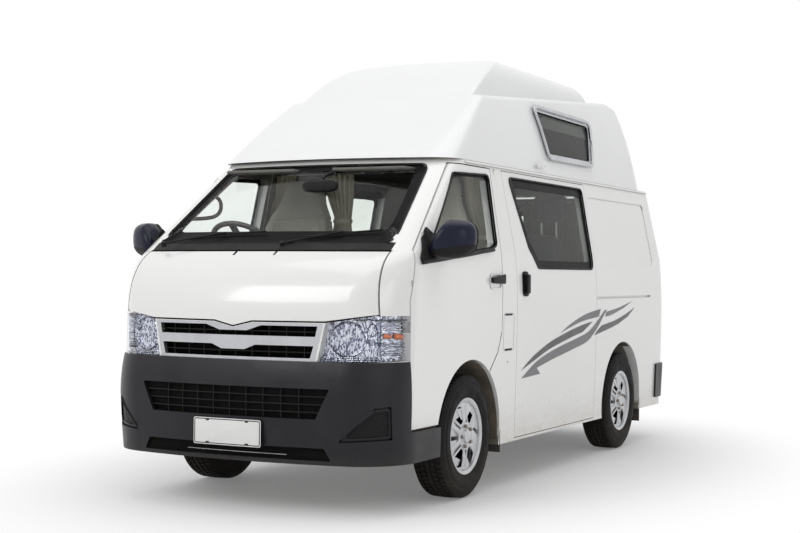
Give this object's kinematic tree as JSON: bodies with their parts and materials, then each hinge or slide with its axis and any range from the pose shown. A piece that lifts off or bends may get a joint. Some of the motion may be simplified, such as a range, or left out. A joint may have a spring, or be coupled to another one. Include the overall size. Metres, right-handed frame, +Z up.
{
  "type": "high-roof camper van",
  "caption": "Long cab-over camper van with a moulded high roof, hinged front doors, bonnet and tailgate, steered front wheels and a furnished living space.",
  "frame": {"origin": "on the ground under the middle of the vehicle, at the bottom centre of its box", "axes": "+X forwards along the vehicle, +Y to its left, +Z up"},
  "size_m": [4.6953, 2.024, 2.5101],
  "materials": {
    "body_white": "gloss",
    "roof_white": "gloss",
    "bumper_black": "satin",
    "trim_black": "matte",
    "grille_silver": "satin",
    "clear_glass": "gloss",
    "tinted_glass": "gloss",
    "lamp_clear": "gloss",
    "lamp_red": "gloss",
    "mirror_shell": "gloss",
    "floor_paint": "satin",
    "chassis_black": "satin",
    "cast_iron": "rough",
    "steel": "satin",
    "wheel_alloy": "satin",
    "tyre_rubber": "matte",
    "dash_plastic": "matte",
    "grip_plastic": "matte",
    "seat_fabric": "woven",
    "bench_fabric": "woven",
    "cabinet_board": "satin",
    "curtain_cloth": "woven",
    "flap_rubber": "matte"
  },
  "bodies": {
    "van_body": {"body_side_left": "body_white", "body_side_right": "body_white", "camper_bench": "bench_fabric", "camper_cabinet": "cabinet_board", "chassis_rails": "chassis_black", "cowl": "trim_black", "curtains": "curtain_cloth", "dashboard": "dash_plastic", "engine": "cast_iron", "exhaust": "steel", "floor": "floor_paint", "front_bumper": "bumper_black", "front_seats": "seat_fabric", "front_suspension": "chassis_black", "fuel_tank": "chassis_black", "grille_frame": "grille_silver", "grille_slats": "trim_black", "headlamps": "lamp_clear", "high_roof": "roof_white", "mud_flaps": "flap_rubber", "nose_panel": "body_white", "rear_axle": "chassis_black", "rear_bumper": "bumper_black", "roof_frame": "body_white", "side_glass": "tinted_glass", "sliding_door": "body_white", "spare_wheel": "tyre_rubber", "tail_lamps": "lamp_red", "windscreen": "clear_glass"},
    "bonnet_lid": {"bonnet": "body_white"},
    "door_left": {"front_door_left": "body_white", "door_glass_left": "clear_glass", "door_mirror_left": "mirror_shell"},
    "door_right": {"front_door_right": "body_white", "door_glass_right": "clear_glass", "door_mirror_right": "mirror_shell"},
    "tail_door": {"tailgate": "body_white", "tailgate_glass": "tinted_glass"},
    "steering": {"steering_wheel": "grip_plastic"},
    "steer_left": {"knuckle_left": "cast_iron"},
    "steer_right": {"knuckle_right": "cast_iron"},
    "wheel_front_left": {"rim_front_left": "wheel_alloy", "tyre_front_left": "tyre_rubber"},
    "wheel_front_right": {"rim_front_right": "wheel_alloy", "tyre_front_right": "tyre_rubber"},
    "wheel_rear_left": {"rim_rear_left": "wheel_alloy", "tyre_rear_left": "tyre_rubber"},
    "wheel_rear_right": {"rim_rear_right": "wheel_alloy", "tyre_rear_right": "tyre_rubber"}
  },
  "joints": [
    {"name": "bonnet_hinge", "type": "hinge", "parent": "van_body", "child": "bonnet_lid", "pos_m": [2.09, 0, 1.289], "axis": [0, -1, 0], "range_deg": [0, 60]},
    {"name": "door_left_hinge", "type": "hinge", "parent": "van_body", "child": "door_left", "pos_m": [1.99, 0.83, 0.745], "axis": [0, 0, -1], "range_deg": [0, 68]},
    {"name": "door_right_hinge", "type": "hinge", "parent": "van_body", "child": "door_right", "pos_m": [1.99, -0.83, 0.745], "axis": [0, 0, 1], "range_deg": [0, 68]},
    {"name": "tailgate_hinge", "type": "hinge", "parent": "van_body", "child": "tail_door", "pos_m": [-2.196, 0, 1.776], "axis": [0, 1, 0], "range_deg": [0, 85]},
    {"name": "steer_left_kingpin", "type": "hinge", "parent": "van_body", "child": "steer_left", "pos_m": [1.305, 0.655, 0.33], "axis": [0, 0, 1], "range_deg": [-35, 35]},
    {"name": "steer_right_kingpin", "type": "hinge", "parent": "van_body", "child": "steer_right", "pos_m": [1.305, -0.655, 0.33], "axis": [0, 0, 1], "range_deg": [-35, 35]},
    {"name": "steering_wheel_turn", "type": "hinge", "parent": "van_body", "child": "steering", "pos_m": [1.56, -0.42, 1.335], "axis": [-0.6428, 0, 0.766], "range_deg": [-525, 525]},
    {"name": "spin_front_left", "type": "hinge", "parent": "steer_left", "child": "wheel_front_left", "pos_m": [1.305, 0.735, 0.33], "axis": [0, 1, 0], "continuous": true},
    {"name": "spin_front_right", "type": "hinge", "parent": "steer_right", "child": "wheel_front_right", "pos_m": [1.305, -0.735, 0.33], "axis": [0, 1, 0], "continuous": true},
    {"name": "spin_rear_left", "type": "hinge", "parent": "van_body", "child": "wheel_rear_left", "pos_m": [-1.265, 0.735, 0.33], "axis": [0, 1, 0], "continuous": true},
    {"name": "spin_rear_right", "type": "hinge", "parent": "van_body", "child": "wheel_rear_right", "pos_m": [-1.265, -0.735, 0.33], "axis": [0, 1, 0], "continuous": true}
  ],
  "couplings": [
    {"joint": "steer_right_kingpin", "follows": "steer_left_kingpin", "ratio": 1},
    {"joint": "steering_wheel_turn", "follows": "steer_left_kingpin", "ratio": 15}
  ]
}
